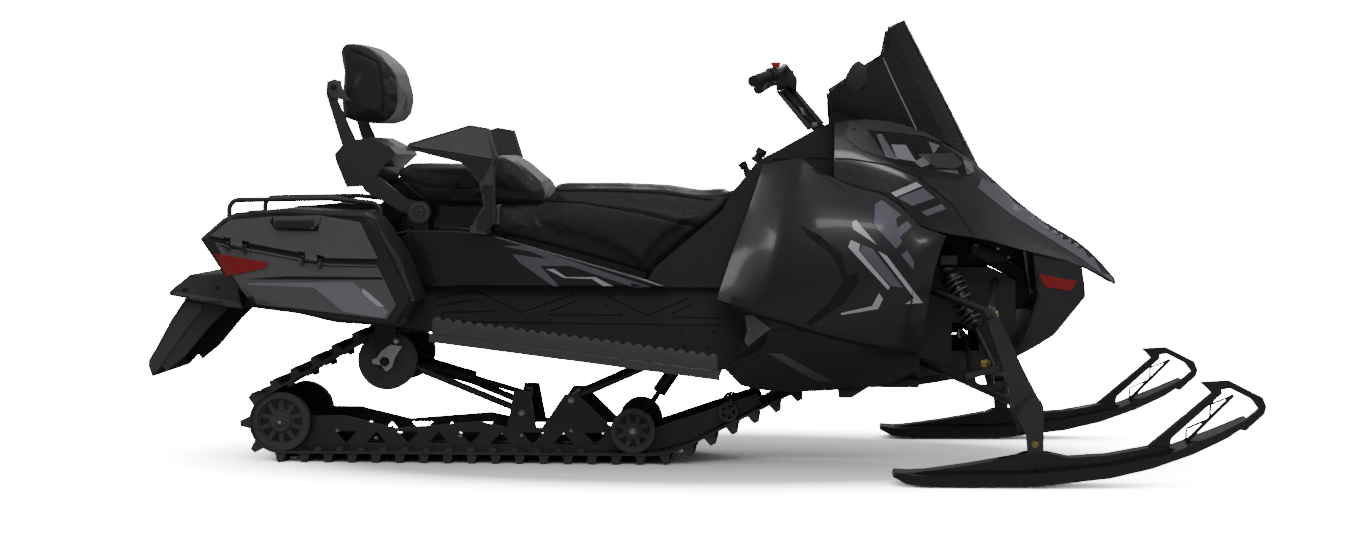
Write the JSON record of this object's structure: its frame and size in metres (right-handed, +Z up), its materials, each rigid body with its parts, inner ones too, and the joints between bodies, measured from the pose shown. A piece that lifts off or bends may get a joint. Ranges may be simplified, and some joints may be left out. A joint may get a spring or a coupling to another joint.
{
  "type": "two-seat touring snowmobile",
  "caption": "Touring snowmobile with rubber track, slide-rail skid, steered skis, smoked windshield, two-up seat with backrest, and hinged saddlebags.",
  "frame": {"origin": "on the ground, under the centre of the whole machine's box", "axes": "+X forward, +Y to the rider's left, +Z up"},
  "size_m": [3.292, 1.23, 1.352],
  "materials": {
    "track_rubber": "moulded rubber, matt",
    "frame_black": "satin black paint",
    "wheel_black": "moulded nylon with rubber tyre",
    "steel_dark": "dark painted steel tube",
    "steel_bright": "bright damper body and rod",
    "tunnel_black": "textured black coating",
    "board_alloy": "dark anodised extrusion",
    "panel_charcoal": "moulded charcoal panel, semi-gloss",
    "panel_black": "moulded black panel, semi-gloss",
    "seat_vinyl": "grained black vinyl with sewn seams",
    "grip_plastic": "soft-touch moulded plastic",
    "rack_metal": "painted steel tube and plate",
    "bag_plastic": "grained black polyethylene",
    "bag_grey": "dark grey moulded plastic",
    "flap_rubber": "flexible moulded flap",
    "belly_plastic": "polyethylene skid plate",
    "engine_alloy": "cast alloy",
    "screen_smoke": "smoke-tinted polycarbonate",
    "ski_plastic": "polished black polyethylene",
    "grip_rubber": "ribbed rubber",
    "lamp_clear": "clear lens over bright reflectors",
    "lamp_red": "red lens with fine prisms"
  },
  "bodies": {
    "chassis": {"armrest_left": "grip_plastic", "armrest_right": "grip_plastic", "bag_left": "bag_plastic", "bag_right": "bag_plastic", "belly_pan": "belly_plastic", "bogie_wheels": "wheel_black", "console": "panel_black", "drive_shaft": "steel_dark", "driver_seat": "seat_vinyl", "engine": "engine_alloy", "fender": "bag_grey", "front_arm": "steel_dark", "front_frame": "frame_black", "front_shock_left": "steel_bright", "front_shock_right": "steel_bright", "headlamps": "lamp_clear", "hood": "panel_black", "lower_arm_left": "frame_black", "lower_arm_right": "frame_black", "nose_bumper": "panel_charcoal", "passenger_seat": "seat_vinyl", "rear_arm": "steel_dark", "rear_rack": "rack_metal", "rear_wheels": "wheel_black", "rest_frame": "frame_black", "running_board_left": "board_alloy", "running_board_right": "board_alloy", "seat_base": "panel_charcoal", "side_panel_left": "panel_charcoal", "side_panel_right": "panel_charcoal", "skid_frame": "frame_black", "skid_shocks": "steel_bright", "snow_flap": "flap_rubber", "tail_lamp": "lamp_red", "track": "track_rubber", "tunnel": "tunnel_black", "upper_arm_left": "frame_black", "upper_arm_right": "frame_black", "upper_idler": "wheel_black", "windshield": "screen_smoke"},
    "steering": {"handlebar": "frame_black", "grips": "grip_rubber"},
    "ski_leg_right": {"spindle_right": "frame_black", "ski_right": "ski_plastic"},
    "ski_leg_left": {"spindle_left": "frame_black", "ski_left": "ski_plastic"},
    "tie_link": {"tie_rods": "steel_dark"},
    "door_right": {"bag_door_right": "bag_grey"},
    "door_left": {"bag_door_left": "bag_grey"},
    "backrest": {"rest_pad": "seat_vinyl"}
  },
  "joints": [
    {"name": "handlebar_steer", "type": "hinge", "parent": "chassis", "child": "steering", "pos_m": [0.387, 0, 1.024], "axis": [-0.6561, 0, 0.7547], "range_deg": [-35, 35]},
    {"name": "ski_right_steer", "type": "hinge", "parent": "chassis", "child": "ski_leg_right", "pos_m": [0.956, -0.44, 0.222], "axis": [-0.2742, 0, 0.9617], "range_deg": [-28, 28]},
    {"name": "ski_left_steer", "type": "hinge", "parent": "chassis", "child": "ski_leg_left", "pos_m": [0.956, 0.44, 0.222], "axis": [-0.2742, 0, 0.9617], "range_deg": [-28, 28]},
    {"name": "tie_rod_slide", "type": "slide", "parent": "chassis", "child": "tie_link", "axis": [0, 1, 0], "range_m": [-0.0489, 0.0489]},
    {"name": "bag_door_right_hinge", "type": "hinge", "parent": "chassis", "child": "door_right", "pos_m": [-1.372, -0.4773, 0.69], "axis": [0.9828, 0, -0.1845], "range_deg": [0, 105]},
    {"name": "bag_door_left_hinge", "type": "hinge", "parent": "chassis", "child": "door_left", "pos_m": [-1.372, 0.4773, 0.69], "axis": [-0.9828, 0, 0.1845], "range_deg": [0, 105]},
    {"name": "backrest_tilt", "type": "hinge", "parent": "chassis", "child": "backrest", "pos_m": [-1.075, 0, 1.144], "axis": [0, 1, 0], "range_deg": [-8, 12]}
  ],
  "couplings": [
    {"joint": "ski_right_steer", "follows": "handlebar_steer", "ratio": 0.8},
    {"joint": "ski_left_steer", "follows": "handlebar_steer", "ratio": 0.8},
    {"joint": "tie_rod_slide", "follows": "handlebar_steer", "m_per_rad": -0.08}
  ]
}
